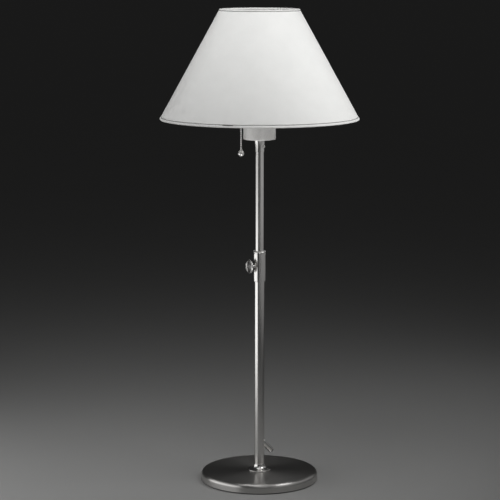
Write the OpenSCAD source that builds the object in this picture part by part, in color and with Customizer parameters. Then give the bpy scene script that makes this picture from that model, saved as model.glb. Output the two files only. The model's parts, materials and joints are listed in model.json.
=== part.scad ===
// Floor lamp with a telescopic column, a thumb screw clamp, a pull chain switch and an
// empire shade carried on a harp. Millimetres, +Z up, origin at the centre of the base's
// underside. The column is drawn at its resting height, clamped and switched off.

/* [Base] */
// Diameter of the round base
base_d = 300; // [260:1:340]
// Height of the base's top above the floor
base_h = 26; // [24:1:34]
// Radius of the base's rounded top edge
base_edge_r = 11; // [6:1:14]
// Thickness of the felt pad
felt_t = 2.5; // [2:0.5:3]
// Diameter of the foot flange's lip
flange_d = 61; // [58:1:70]

/* [Column] */
// Outside diameter of the lower tube
lower_tube_d = 26; // [26:0.5:27]
// Outside diameter of the upper tube
upper_tube_d = 22; // [21.5:0.5:22]
// Wall thickness of both tubes
tube_wall = 1.5; // [1.2:0.1:1.8]
// Height of the neck's lower edge above the floor
neck_z = 852; // [800:1:950]
// Length of the upper tube
upper_tube_len = 498; // [440:1:510]

/* [Clamp] */
// Diameter of the clamp collar
collar_d = 32; // [32:0.5:36]
// Height of the collar's lower edge above the floor
collar_z = 520; // [500:1:540]
// Height of the clamp collar with its gland ring
collar_h = 78; // [76:1:90]
// Diameter of the thumb screw's head
knob_d = 35; // [28:1:42]
// Direction in which the thumb screw points, from +X towards +Y
knob_turn = 210; // [0:5:355]

/* [Cord outlet] */
// Direction of the cord outlet, from +X towards +Y
outlet_turn = 30; // [0:5:80]
// Distance of the outlet's mouth from the column's axis
outlet_reach = 36; // [32:1:44]
// Outside diameter of the outlet
outlet_d = 14; // [13:0.5:16]
// Diameter of the hole for the cord
cord_hole_d = 6.6; // [6:0.1:7.4]

/* [Socket cup and chain] */
// Outside diameter of the cup
cup_d = 82; // [78:1:84]
// Height of the cup
cup_h = 40; // [30:1:41]
// Distance of the pull chain from the column's axis
chain_x = 46.5; // [45.5:0.5:52]
// Diameter of one bead of the pull chain
bead_d = 4.2; // [3.6:0.1:4.4]
// Diameter of the pull's ball
ball_d = 16; // [12:1:18]
// Drop of the ball's centre below the bead on which the chain swings
ball_drop = 70; // [60:5:90]
// Travel of the pull chain
pull_travel = 6; // [4:1:6]

/* [Shade] */
// Diameter of the shade's lower edge
shade_bottom_d = 502; // [440:2:540]
// Diameter of the shade's upper edge
shade_top_d = 200; // [190:2:230]
// Height of the shade
shade_h = 274; // [262:1:290]
// Thickness of the shade's panel
shade_t = 1.2; // [0.8:0.1:1.6]
// Height of the binding on the shade's edges
trim_h = 6; // [5:0.5:8]

/* [Hidden] */
$fn = 96;

// Cutting tools run this far past the faces that they cut
over = 1;
// Radial gaps: a sleeve fixed on its neighbour, and one that turns or slides
fixed_gap = 0.05;
running_gap = 0.05;

// Base
base_r = base_d / 2;
cover_t = 1.5;
weight_gap = 0.3;
felt_inset = 4;
recess_d = 40;
recess_z = felt_t + 10;
bolt_d = 10;
bolt_head_h = 6.5;
washer_t = 1.5;
bolt_head_z = recess_z - washer_t - bolt_head_h;
bolt_across_flats = 17;
plug_h = 20;
plug_z = base_h + 1;
flange_lip_h = 2.5;
flange_h = 16;
flange_scoop_r = 13;

// Lower column
lower_bore_d = lower_tube_d - 2 * tube_wall;
upper_bore_d = upper_tube_d - 2 * tube_wall;
collar_socket_h = 26;
lower_tube_top = collar_z + collar_socket_h - 1;
gland_d = 27;
gland_z = collar_z + 52;
gland_bush_h = 12;
gland_spigot_top = collar_z + collar_h - 6;
ring_lip_d = collar_d + 1.6;
ring_lip_h = 3;
ring_edge_r = 2.2;
ring_neck_d = collar_d - 2.6;
collar_top = collar_z + collar_h;
collar_chamfer = 1;
set_screw_d = 4;
set_screw_z = collar_z + 13;

// Thumb screw
knob_z = collar_z + 40;
screw_d = 6;
shoe_start = upper_tube_d / 2 + 0.05;
shoe_len = 2.4;
screw_start = shoe_start + shoe_len + 0.1;
stem_start = collar_d / 2 + 0.6;
stem_d = 8;
knob_back = 27;
knob_t = 4.6;
knob_flare_r = 5;
knob_dish_d = knob_d - 8;
knob_dish_depth = 0.8;

// Cord outlet, 45 degrees downwards
outlet_tilt = 135;
outlet_len = outlet_reach / cos(45);
outlet_z = 108;
outlet_bore_d = 9;
bush_len = 25;
bush_lip_d = 11.5;
bush_lip_h = 1.5;

// Upper column
tube_overlap = 16;
upper_tube_top = neck_z + tube_overlap;
upper_tube_z = upper_tube_top - upper_tube_len;
guide_h = 12;
guide_spigot_h = 18;
guide_bore_d = 14;
neck_h = 31;
neck_waist_r = upper_tube_d / 2 + 1;
neck_waist_h = 6;
neck_flare = 4;
neck_scoop_r = 110;
neck_screw_turn = -28;
neck_screw_z = neck_z + 13;
neck_screw_d = 4;
neck_screw_head_d = 7;
neck_screw_head_h = 2.2;
neck_screw_edge = 1;
neck_screw_slot = 0.8;
neck_screw_seat = neck_waist_r + 0.6;
nipple_d = 10;
nipple_bore_d = 7;
nipple_len = 37;
nipple_z = neck_z + 19;

// Socket cup and harp saddle
cup_z = neck_z + neck_h;
cup_wall = 1;
cup_floor = 1.5;
cup_edge_r = 3;
cup_bead_r = 0.9;
saddle_z = cup_z + cup_floor;
saddle_t = 1.5;
saddle_w = 12;
saddle_disc_d = 26;
foot_y = 28;
tab_h = 20;
riser_d = 14;
riser_h = 14;

// Lampholder
socket_z = saddle_z + saddle_t + riser_h;
socket_boss_d = 16;
cap_d = 33.6;
cap_wall = 0.7;
cap_collar_h = 4;
cap_shoulder_z = 10;
cap_h = 22;
shell_d = 32;
shell_wall = 0.6;
shell_z = socket_z + 14;
shell_top = socket_z + 62;
liner_d = 30.6;
liner_wall = 0.4;
liner_z = socket_z + 24;
body_d = 29.6;
body_z = socket_z + 12;
body_top = socket_z + 34;
screw_shell_d = 27.4;
screw_shell_wall = 0.4;
screw_shell_top = socket_z + 58;
screw_floor_hole_d = 14;
terminal_z = socket_z + 18;
terminal_d = 3;
terminal_start = 7.5;
terminal_head_d = 6;
terminal_head_h = 2;
terminal_head_start = 12;
terminal_slot = 0.8;

// Pull chain and its lever
guide_z = socket_z + 29;
guide_bend_r = 6;
guide_d = 6.6;
guide_inner_d = 5;
guide_start = 14.2;
mouth_z = guide_z - 11;
mouth_h = 3;
mouth_d = 8;
bead_pitch = 5;
link_d = 1.2;
link_gap = 0.1;
pivot_z = mouth_z - 1;
ball_z = pivot_z - ball_drop;
coupling_h = 5;
coupling_d = 5.6;
bead_count = floor((ball_drop - ball_d / 2 - coupling_h + 1) / bead_pitch);
lever_x = -10;
lever_z = guide_z - 9;
lever_arm = 9;
lever_t = 1.4;
lever_w = 4;
lever_hub_d = 4;
lever_pin_d = 1.6;
lever_pin_len = 14;
lever_rest = asin(pull_travel / 2 / lever_arm);
cavity_w = 12;
inner_bead_d = 3;
inner_pitch = 4;
inner_count = 5;
spring_wire_d = 0.5;
spring_d = 3.6;
spring_turns = 4;
spring_start_y = 2.6;
spring_pitch = 0.7;

// Light bulb
contact_z = body_top + 2.4;
bulb_cap_d = 26.2;
bulb_cap_z = contact_z + 5;
bulb_cap_h = 22;
bulb_neck_r = bulb_cap_d / 2 - 0.2;
bulb_r = 30;
bulb_centre_z = contact_z + 80;
bulb_neck_z = bulb_cap_z + bulb_cap_h + 0.1;
bulb_join_drop = 19;
bulb_join_z = bulb_centre_z - bulb_join_drop;
bulb_join_r = sqrt(bulb_r * bulb_r - bulb_join_drop * bulb_join_drop);
bulb_join_angle = -asin(bulb_join_drop / bulb_r);
bulb_wall = 0.8;
bulb_steps = 12;

// Shade
shade_z = 935.5;
shade_top_z = shade_z + shade_h;
shade_bottom_r = shade_bottom_d / 2;
shade_top_r = shade_top_d / 2;
binding_t = 0.5;
binding_gap = 0.05;
binding_lap = 4.6;
wire_d = 3;
spider_drop = 22;
spider_z = shade_top_z - spider_drop;
spider_t = 1.5;
spider_disc_d = 25;
ring_gap = 0.2;
arm_gap = 0.1;
arm_d = 3;
arm_count = 3;
arm_turn = 57;
stud_d = 6;
stud_base_d = 8;
stud_base_h = 6;
stud_len = 10;
finial_foot_d = 12;
finial_foot_h = 3;
finial_neck_h = 2;
finial_ball_d = 12.4;

// Harp
harp_d = 3.2;
harp_foot_z = saddle_z + saddle_t + 2;
harp_top_z = spider_z - stud_base_h - harp_d / 2;
harp_steps = 26;
harp_sides = 12;
harp_bulge = 86;
harp_shoulder = 22;
ferrule_d = 6.4;
ferrule_h = 14;
harp_inset = ferrule_d / 2 + 0.1;
harp_straight = 18;

// Radius of the shade panel's outside at a height
function shade_r(z) = shade_bottom_r + (shade_top_r - shade_bottom_r) * (z - shade_z) / shade_h;

// Radius of a wire ring inside the shade panel, to the middle of its wire
function wire_ring_r(z) = shade_r(z) - shade_t - wire_d / 2 - ring_gap;

// Radius of the bulb's outside at a height: a neck that flares into a sphere
function bulb_outer(z) = z < bulb_join_z
    ? bulb_neck_r + (bulb_join_r - bulb_neck_r) * pow((z - bulb_neck_z) / (bulb_join_z - bulb_neck_z), 3)
    : sqrt(max(0, bulb_r * bulb_r - pow(z - bulb_centre_z, 2)));

// Heights at which the bulb's outline is drawn, closer together near its top
bulb_top_z = bulb_centre_z + bulb_r;
bulb_heights = concat(
    [for (i = [0:bulb_steps]) bulb_neck_z + (bulb_join_z - bulb_neck_z) * i / bulb_steps],
    [for (i = [1:bulb_steps])
        bulb_centre_z + bulb_r * sin(bulb_join_angle + (90 - bulb_join_angle) * i / bulb_steps)]
);

// Harp's side in the YZ plane: straight through its ferrule, then one curve to the harp's top
harp_bend_z = harp_foot_z + harp_straight;
harp_ends = [[foot_y, harp_bend_z], [foot_y, harp_bend_z + 42], [harp_bulge, harp_bend_z + 42],
    [harp_bulge, harp_bend_z + 132], [harp_bulge - harp_shoulder, harp_top_z], [0, harp_top_z]];
function bezier(p, t) = len(p) == 1
    ? p[0]
    : bezier([for (i = [0:len(p) - 2]) p[i] * (1 - t) + p[i + 1] * t], t);
harp_half = concat([[foot_y, harp_foot_z]],
    [for (i = [0:harp_steps]) bezier(harp_ends, i / harp_steps)]);
harp_middle = len(harp_half) - 1;
harp_path = concat(harp_half, [for (i = [harp_middle - 1:-1:0]) [-harp_half[i].x, harp_half[i].y]]);

// Points of a round section at each point of a path in the YZ plane
function section(path, i, d, sides) =
    let (
        before = path[max(i - 1, 0)],
        after = path[min(i + 1, len(path) - 1)],
        way = (after - before) / norm(after - before)
    )
    [for (j = [0:sides - 1])
        let (a = 360 * j / sides)
        [d / 2 * cos(a), path[i].x - d / 2 * sin(a) * way.y, path[i].y + d / 2 * sin(a) * way.x]];

// Joins rings of points into one closed solid
module skin(rings) {
    sides = len(rings[0]);
    last = len(rings) - 1;
    polyhedron(
        points = [for (ring = rings) each ring],
        faces = concat(
            [[for (j = [0:sides - 1]) j]],
            [[for (j = [sides - 1:-1:0]) last * sides + j]],
            [for (i = [0:last - 1], j = [0:sides - 1])
                [i * sides + j, (i + 1) * sides + j,
                (i + 1) * sides + (j + 1) % sides, i * sides + (j + 1) % sides]]
        )
    );
}

module sleeve(outer_d, inner_d, h) {
    difference() {
        cylinder(d = outer_d, h = h);
        translate([0, 0, -over]) cylinder(d = inner_d, h = h + 2 * over);
    }
}

module hexagon(across_flats, h) {
    cylinder(d = across_flats / cos(30), h = h, $fn = 6);
}

module at_height(z) {
    translate([0, 0, z]) children();
}

// Outline of half a disc whose upper edge is rounded
module rounded_top(r, h, edge_r) {
    square([r - edge_r, h]);
    square([r, h - edge_r]);
    translate([r - edge_r, h - edge_r]) circle(r = edge_r);
}

// Outline of half a disc whose lower edge is rounded
module rounded_foot(r, h, edge_r) {
    square([r - edge_r, h]);
    translate([0, edge_r]) square([r, h - edge_r]);
    translate([r - edge_r, edge_r]) circle(r = edge_r);
}

// Turns the children's +Z outwards along the thumb screw
module along_knob() {
    translate([0, 0, knob_z]) rotate([0, 0, knob_turn]) rotate([0, 90, 0]) children();
}

// Turns the children's +Z outwards and down along the cord outlet
module along_outlet() {
    translate([0, 0, outlet_z]) rotate([0, 0, outlet_turn]) rotate([0, outlet_tilt, 0]) children();
}

module felt_pad() {
    color("dimgray") cylinder(r = base_r - felt_inset, h = felt_t);
}

module base_weight() {
    skin_t = cover_t + weight_gap;
    color("gray") difference() {
        at_height(felt_t) rotate_extrude()
            rounded_top(base_r - skin_t, base_h - felt_t - skin_t, base_edge_r - skin_t);
        at_height(felt_t - over) cylinder(d = recess_d, h = recess_z - felt_t + over);
        cylinder(d = bolt_d + 1, h = base_h);
    }
}

module base_cover() {
    color("silver") difference() {
        at_height(felt_t) rotate_extrude() rounded_top(base_r, base_h - felt_t, base_edge_r);
        at_height(felt_t - over) rotate_extrude()
            rounded_top(base_r - cover_t, base_h - felt_t - cover_t + over, base_edge_r - cover_t);
        cylinder(d = bolt_d + 1, h = base_h + over);
    }
}

module base_washer() {
    color("silver") at_height(recess_z - washer_t) sleeve(28, bolt_d + 2 * fixed_gap, washer_t);
}

module base_bolt() {
    color("silver") at_height(bolt_head_z) {
        hexagon(bolt_across_flats, bolt_head_h);
        cylinder(d = bolt_d, h = plug_z + plug_h - 3 - bolt_head_z);
    }
}

module column_foot_plug() {
    color("darkgray") at_height(plug_z)
        sleeve(lower_bore_d - 2 * fixed_gap, bolt_d + 2 * fixed_gap, plug_h);
}

module foot_flange() {
    bore_r = lower_tube_d / 2 + fixed_gap;
    scoop_x = bore_r + 1.4 + flange_scoop_r;
    color("silver") at_height(base_h) rotate_extrude() {
        translate([bore_r, 0]) square([flange_d / 2 - bore_r - flange_lip_h / 2, flange_lip_h]);
        translate([flange_d / 2 - flange_lip_h / 2, flange_lip_h / 2]) circle(d = flange_lip_h);
        difference() {
            translate([bore_r, 0]) square([scoop_x - bore_r, flange_h]);
            translate([scoop_x, flange_h]) circle(r = flange_scoop_r);
        }
    }
}

module lower_tube() {
    color("silver") difference() {
        at_height(base_h) sleeve(lower_tube_d, lower_bore_d, lower_tube_top - base_h);
        along_outlet() cylinder(d = outlet_bore_d, h = outlet_len);
    }
}

module cord_outlet() {
    color("silver") difference() {
        along_outlet() {
            cylinder(d = outlet_d, h = outlet_len - 1);
            at_height(outlet_len - 1) cylinder(d1 = outlet_d, d2 = outlet_d - 2, h = 1);
        }
        along_outlet() cylinder(d = outlet_bore_d + 2 * fixed_gap, h = outlet_len + over);
        cylinder(d = lower_tube_d + 2 * fixed_gap, h = outlet_z + outlet_len);
    }
}

module outlet_bush() {
    color("black") along_outlet() difference() {
        union() {
            at_height(outlet_len - bush_len) cylinder(d = outlet_bore_d, h = bush_len);
            at_height(outlet_len) cylinder(d = bush_lip_d, h = bush_lip_h);
        }
        at_height(outlet_len - bush_len - over)
            cylinder(d = cord_hole_d, h = bush_len + bush_lip_h + 2 * over);
    }
}

module clamp_collar() {
    bore_d = upper_tube_d + 2 * running_gap;
    color("silver") difference() {
        union() {
            at_height(collar_z) cylinder(d1 = collar_d - 2 * collar_chamfer, d2 = collar_d,
                h = collar_chamfer);
            at_height(collar_z + collar_chamfer)
                cylinder(d = collar_d, h = gland_spigot_top - collar_z - collar_chamfer);
        }
        at_height(collar_z - over)
            cylinder(d = lower_tube_d + 2 * fixed_gap, h = collar_socket_h + over);
        at_height(collar_z) cylinder(d = bore_d, h = collar_h);
        at_height(gland_z) cylinder(d = gland_d + 2 * fixed_gap, h = collar_h);
        along_knob() cylinder(d = screw_d + 2 * running_gap, h = collar_d);
        at_height(set_screw_z) rotate([-90, 0, 0])
            cylinder(d = set_screw_d + 2 * fixed_gap, h = collar_d);
    }
}

module collar_bush() {
    color("black") at_height(gland_z)
        sleeve(gland_d, upper_tube_d + 2 * running_gap, gland_bush_h);
}

module collar_ring() {
    spigot_z = gland_z + gland_bush_h;
    bore_d = upper_tube_d + 0.6;
    color("silver") {
        at_height(spigot_z) sleeve(gland_d, bore_d, collar_top - spigot_z);
        at_height(gland_spigot_top) sleeve(ring_neck_d, bore_d, collar_top - gland_spigot_top);
        at_height(collar_top - ring_lip_h) difference() {
            rotate_extrude() rounded_top(ring_lip_d / 2, ring_lip_h, ring_edge_r);
            at_height(-over) cylinder(d = bore_d, h = ring_lip_h + 2 * over);
        }
    }
}

module collar_set_screw() {
    start = lower_tube_d / 2 + fixed_gap;
    color("dimgray") at_height(set_screw_z) rotate([-90, 0, 0]) difference() {
        at_height(start) cylinder(d = set_screw_d, h = collar_d / 2 - start);
        at_height(collar_d / 2 - 1.4) hexagon(2, 2);
    }
}

module clamp_shoe() {
    color("goldenrod") along_knob() at_height(shoe_start) cylinder(d = screw_d, h = shoe_len);
}

module clamp_screw() {
    color("silver") along_knob() at_height(screw_start)
        cylinder(d = screw_d, h = knob_back - screw_start);
}

module knob_head() {
    stem_r = stem_d / 2;
    flare_x = stem_r + knob_flare_r;
    color("silver") along_knob() difference() {
        rotate_extrude() {
            translate([0, stem_start]) square([stem_r, knob_back - stem_start]);
            difference() {
                translate([0, knob_back - knob_flare_r]) square([flare_x, knob_flare_r]);
                translate([flare_x, knob_back - knob_flare_r]) circle(r = knob_flare_r);
            }
            translate([0, knob_back]) square([knob_d / 2 - knob_t / 2, knob_t]);
            translate([knob_d / 2 - knob_t / 2, knob_back + knob_t / 2]) circle(d = knob_t);
        }
        cylinder(d = screw_d + 2 * fixed_gap, h = knob_back);
        at_height(knob_back + knob_t - knob_dish_depth) cylinder(d = knob_dish_d, h = over);
    }
}

module guide_bush() {
    color("black") difference() {
        union() {
            at_height(upper_tube_z - guide_h - running_gap)
                cylinder(d = lower_bore_d - 2 * running_gap, h = guide_h);
            at_height(upper_tube_z - guide_h)
                cylinder(d = upper_bore_d - 2 * running_gap, h = guide_h + guide_spigot_h);
        }
        at_height(upper_tube_z - guide_h - over)
            cylinder(d = guide_bore_d, h = guide_h + guide_spigot_h + 2 * over);
    }
}

module upper_tube() {
    color("silver") at_height(upper_tube_z) sleeve(upper_tube_d, upper_bore_d, upper_tube_len);
}

// Turns the children's +Z outwards along the neck's set screw
module along_neck_screw() {
    translate([0, 0, neck_screw_z]) rotate([0, 0, neck_screw_turn]) rotate([0, 90, 0]) children();
}

module neck_coupler() {
    scoop_x = neck_waist_r + neck_scoop_r;
    color("silver") difference() {
        at_height(neck_z) rotate_extrude() difference() {
            square([neck_waist_r + neck_flare, neck_h]);
            translate([scoop_x, neck_waist_h]) circle(r = neck_scoop_r, $fn = 720);
        }
        at_height(neck_z - over)
            cylinder(d = upper_tube_d + 2 * fixed_gap, h = tube_overlap + over + fixed_gap);
        at_height(neck_z) cylinder(d = nipple_d + 2 * fixed_gap, h = neck_h + over);
        along_neck_screw() cylinder(d = neck_screw_d + 2 * fixed_gap, h = scoop_x);
        along_neck_screw() at_height(neck_screw_seat)
            cylinder(d = neck_screw_head_d + 4 * fixed_gap, h = scoop_x);
    }
}

module neck_set_screw() {
    start = upper_tube_d / 2 + fixed_gap;
    head_top = neck_screw_seat + neck_screw_head_h;
    color("silver") along_neck_screw() difference() {
        union() {
            at_height(start) cylinder(d = neck_screw_d, h = neck_screw_seat - start + over);
            at_height(neck_screw_seat + fixed_gap) rotate_extrude()
                rounded_top(neck_screw_head_d / 2, neck_screw_head_h - fixed_gap, neck_screw_edge);
        }
        translate([-neck_screw_head_d / 2 - over, -neck_screw_slot / 2, head_top - neck_screw_slot])
            cube([neck_screw_head_d + 2 * over, neck_screw_slot, over]);
    }
}

module head_nipple() {
    color("goldenrod") at_height(nipple_z) sleeve(nipple_d, nipple_bore_d, nipple_len);
}

module socket_cup() {
    cup_r = cup_d / 2;
    color("silver") at_height(cup_z) difference() {
        rotate_extrude() {
            rounded_foot(cup_r, cup_h - cup_bead_r, cup_edge_r);
            translate([cup_r - cup_bead_r + 0.3, cup_h - cup_bead_r]) circle(r = cup_bead_r);
        }
        at_height(cup_floor) rotate_extrude()
            rounded_foot(cup_r - cup_wall, cup_h, cup_edge_r - cup_wall);
        at_height(-over) cylinder(d = nipple_d + 2 * fixed_gap, h = cup_h);
    }
}

module harp_saddle() {
    color("goldenrod") at_height(saddle_z) difference() {
        union() {
            cylinder(d = saddle_disc_d, h = saddle_t);
            translate([-saddle_w / 2, -foot_y - saddle_t, 0])
                cube([saddle_w, 2 * (foot_y + saddle_t), saddle_t]);
            for (side = [0, 1]) mirror([0, side, 0])
                translate([-saddle_w / 2, foot_y, 0]) cube([saddle_w, saddle_t, tab_h]);
        }
        at_height(-over) cylinder(d = nipple_d + 2 * fixed_gap, h = saddle_t + 2 * over);
    }
}

module riser_sleeve() {
    color("goldenrod") at_height(saddle_z + saddle_t)
        sleeve(riser_d, nipple_d + 2 * fixed_gap, riser_h);
}

module socket_cap() {
    inner_d = cap_d - 2 * cap_wall;
    cone_h = cap_shoulder_z - cap_collar_h;
    inner_cone_h = cone_h - 2;
    color("goldenrod") at_height(socket_z) difference() {
        union() {
            cylinder(d = socket_boss_d, h = cap_shoulder_z);
            at_height(cap_collar_h) cylinder(d1 = socket_boss_d, d2 = cap_d, h = cone_h);
            at_height(cap_shoulder_z) cylinder(d = cap_d, h = cap_h - cap_shoulder_z);
        }
        at_height(cap_shoulder_z + 1 - inner_cone_h)
            cylinder(d1 = socket_boss_d, d2 = inner_d, h = inner_cone_h);
        at_height(cap_shoulder_z + 1) cylinder(d = inner_d, h = cap_h);
        at_height(-over) cylinder(d = nipple_d + 2 * fixed_gap, h = cap_h);
    }
}

module socket_shell() {
    color("goldenrod") difference() {
        union() {
            at_height(shell_z) cylinder(d = shell_d, h = shell_top - shell_z);
            at_height(shell_top - 2) cylinder(d = shell_d + 1, h = 2);
        }
        at_height(shell_z - over)
            cylinder(d = shell_d - 2 * shell_wall, h = shell_top - shell_z + 2 * over);
        at_height(guide_z) rotate([0, -90, 0]) cylinder(d = guide_d + 2 * fixed_gap, h = shell_d);
    }
}

module socket_liner() {
    color("tan") difference() {
        at_height(liner_z) sleeve(liner_d, liner_d - 2 * liner_wall, shell_top - 1 - liner_z);
        at_height(guide_z) rotate([0, -90, 0]) cylinder(d = guide_d + 2 * fixed_gap, h = shell_d);
    }
}

module socket_body() {
    color("ivory") difference() {
        at_height(body_z) cylinder(d = body_d, h = body_top - body_z);
        translate([-body_d, -cavity_w / 2, body_z + 3])
            cube([body_d - 3, cavity_w, body_top - body_z - 4]);
        translate([lever_x, 0, lever_z]) rotate([90, 0, 0]) cylinder(d = lever_pin_d + 2 * fixed_gap,
            h = lever_pin_len, center = true);
        for (side = [0, 1]) mirror([0, side, 0]) at_height(terminal_z) rotate([-90, 0, 0]) {
            at_height(terminal_head_start - 0.5) cylinder(d = terminal_head_d + 1, h = body_d);
            at_height(terminal_start - 0.5) cylinder(d = terminal_d + 2 * fixed_gap, h = body_d);
        }
    }
}

module terminal_screws() {
    color("gold") for (side = [0, 1]) mirror([0, side, 0])
        at_height(terminal_z) rotate([-90, 0, 0]) difference() {
            union() {
                at_height(terminal_start)
                    cylinder(d = terminal_d, h = terminal_head_start - terminal_start);
                at_height(terminal_head_start) cylinder(d = terminal_head_d, h = terminal_head_h);
            }
            translate([-terminal_head_d, -terminal_slot / 2,
                terminal_head_start + terminal_head_h - terminal_slot])
                cube([2 * terminal_head_d, terminal_slot, over]);
        }
}

module screw_shell() {
    inner_d = screw_shell_d - 2 * screw_shell_wall;
    color("gold") at_height(body_top) {
        sleeve(screw_shell_d, inner_d, screw_shell_top - body_top);
        sleeve(screw_shell_d, screw_floor_hole_d, screw_shell_wall);
    }
}

module centre_contact() {
    color("gold") at_height(body_top) {
        cylinder(d = 8, h = 0.8);
        at_height(0.8) cylinder(d = 5, h = contact_z - body_top - 0.8);
    }
}

module lever_pin() {
    color("silver") translate([lever_x, 0, lever_z]) rotate([90, 0, 0])
        cylinder(d = lever_pin_d, h = lever_pin_len, center = true);
}

module lever_spring() {
    steps = 12 * spring_turns;
    color("silver") translate([lever_x, spring_start_y, lever_z]) skin([
        for (i = [0:steps])
            let (a = 30 * i)
            [for (b = [0:60:300])
                [cos(a) * (spring_d + spring_wire_d * cos(b)) / 2,
                spring_pitch * i / 12 + spring_wire_d * sin(b) / 2,
                sin(a) * (spring_d + spring_wire_d * cos(b)) / 2]]
    ]);
}

module switch_lever() {
    color("gold") translate([lever_x, 0, lever_z]) rotate([0, lever_rest, 0]) difference() {
        union() {
            rotate([90, 0, 0]) cylinder(d = lever_hub_d, h = lever_w, center = true);
            translate([-lever_t / 2, -lever_w / 2, 0]) cube([lever_t, lever_w, lever_arm]);
        }
        rotate([90, 0, 0])
            cylinder(d = lever_pin_d + 2 * running_gap, h = lever_w + over, center = true);
    }
}

// A row of round beads on a thin link, from the origin down
module beads(count, d, pitch) {
    for (i = [0:count - 1]) at_height(-i * pitch) sphere(d = d);
    at_height(-(count - 1) * pitch) cylinder(d = link_d, h = (count - 1) * pitch);
}

module inner_chain() {
    start = lever_x + lever_arm * sin(lever_rest) - 3;
    color("silver") translate([start, 0, guide_z]) rotate([0, 90, 0])
        beads(inner_count, inner_bead_d, inner_pitch);
}

module chain_guide() {
    bend_x = chain_x - guide_bend_r;
    color("silver") difference() {
        union() {
            translate([-guide_start, 0, guide_z]) rotate([0, -90, 0])
                cylinder(d = guide_d, h = bend_x - guide_start);
            guide_bend(guide_d);
            translate([-chain_x, 0, mouth_z + mouth_h])
                cylinder(d = guide_d, h = guide_z - guide_bend_r - mouth_z - mouth_h);
            translate([-chain_x, 0, mouth_z]) cylinder(d1 = mouth_d, d2 = guide_d, h = mouth_h);
        }
        translate([-guide_start + over, 0, guide_z]) rotate([0, -90, 0])
            cylinder(d = guide_inner_d, h = bend_x - guide_start + over);
        guide_bend(guide_inner_d);
        translate([-chain_x, 0, mouth_z - over])
            cylinder(d = guide_inner_d, h = guide_z - guide_bend_r - mouth_z + over);
        translate([-chain_x, 0, mouth_z]) cylinder(d1 = mouth_d - 1.2, d2 = guide_inner_d, h = mouth_h);
    }
}

// Quarter bend that takes the chain from level to hanging
module guide_bend(d) {
    translate([guide_bend_r - chain_x, 0, guide_z - guide_bend_r]) rotate([90, 0, 0])
        rotate([0, 0, 90]) rotate_extrude(angle = 90) translate([guide_bend_r, 0]) circle(d = d);
}

module chain_lead_bead() {
    color("silver") translate([-chain_x, 0, pivot_z + bead_pitch]) {
        sphere(d = bead_d);
        at_height(-bead_pitch + bead_d / 2 + link_gap)
            cylinder(d = link_d, h = bead_pitch - bead_d / 2 - link_gap);
    }
}

module chain_pivot_bead() {
    color("silver") translate([-chain_x, 0, pivot_z]) sphere(d = bead_d);
}

module pull_chain() {
    color("silver") translate([-chain_x, 0, pivot_z - bead_pitch]) {
        beads(bead_count, bead_d, bead_pitch);
        cylinder(d = link_d, h = bead_pitch - bead_d / 2 - link_gap);
    }
}

module chain_coupling() {
    chain_end = pivot_z - bead_count * bead_pitch - bead_d / 2;
    coupling_z = ball_z + sqrt(pow(ball_d / 2, 2) - pow(coupling_d / 2, 2)) + link_gap;
    color("silver") translate([-chain_x, 0, 0]) difference() {
        at_height(coupling_z)
            cylinder(d1 = coupling_d, d2 = coupling_d - 1.6, h = chain_end - coupling_z - link_gap);
        at_height(ball_z) sphere(d = ball_d + 2 * link_gap);
    }
}

module chain_ball() {
    color("silver") translate([-chain_x, 0, ball_z]) sphere(d = ball_d);
}

module bulb_contact() {
    color("silver") at_height(contact_z) {
        cylinder(d1 = 5, d2 = 8, h = 1);
        at_height(1) cylinder(d = 8, h = 1);
    }
}

module bulb_insulator() {
    color("black") at_height(contact_z + 2) cylinder(d1 = 10, d2 = bulb_cap_d - 4, h = 3);
}

module bulb_cap() {
    color("silver") at_height(bulb_cap_z) difference() {
        cylinder(d = bulb_cap_d, h = bulb_cap_h);
        at_height(0.5) cylinder(d = bulb_cap_d - 1, h = bulb_cap_h);
    }
}

module bulb_glass() {
    color("white") rotate_extrude() polygon(concat(
        [for (z = bulb_heights) [bulb_outer(z), z]],
        [for (i = [len(bulb_heights) - 1:-1:0])
            let (z = bulb_heights[i])
            z < bulb_join_z
                ? [bulb_outer(z) - bulb_wall, z]
                : [bulb_outer(z) * (1 - bulb_wall / bulb_r),
                bulb_centre_z + (z - bulb_centre_z) * (1 - bulb_wall / bulb_r)]]
    ));
}

module harp_ferrules() {
    color("gold") for (side = [-1, 1])
        translate([0, side * (foot_y - harp_inset), harp_foot_z + 2])
            sleeve(ferrule_d, harp_d + 4 * fixed_gap, ferrule_h);
}

module harp_wire() {
    color("gold") skin([
        for (i = [0:len(harp_path) - 1])
            let (side = i < harp_middle ? -1 : (i > harp_middle ? 1 : 0))
            [for (p = section(harp_path, i, harp_d, harp_sides)) p + [0, side * harp_inset, 0]]
    ]);
}

module harp_stud() {
    color("gold") {
        at_height(spider_z - stud_base_h) cylinder(d = stud_base_d, h = stud_base_h);
        at_height(spider_z) cylinder(d = stud_d, h = stud_len);
    }
}

module spider() {
    outer_r = wire_ring_r(shade_top_z - wire_d) - wire_d / 2 - arm_gap;
    inner_r = spider_disc_d / 2 - 2;
    rise = spider_drop - wire_d - spider_t / 2;
    run = outer_r - inner_r;
    color("silver") {
        at_height(spider_z) sleeve(spider_disc_d, stud_d + 0.6, spider_t);
        difference() {
            for (i = [0:arm_count - 1]) rotate([0, 0, arm_turn + 360 / arm_count * i])
                translate([inner_r, 0, spider_z + spider_t / 2])
                    rotate([0, 90 - atan2(rise, run), 0]) cylinder(d = arm_d, h = norm([rise, run]));
            at_height(spider_z - arm_d) cylinder(r = inner_r - 1, h = 4 * arm_d);
            difference() {
                at_height(spider_z) cylinder(r = outer_r + spider_drop, h = 2 * spider_drop);
                at_height(spider_z - over) cylinder(r = outer_r, h = 3 * spider_drop);
            }
        }
    }
}

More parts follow.
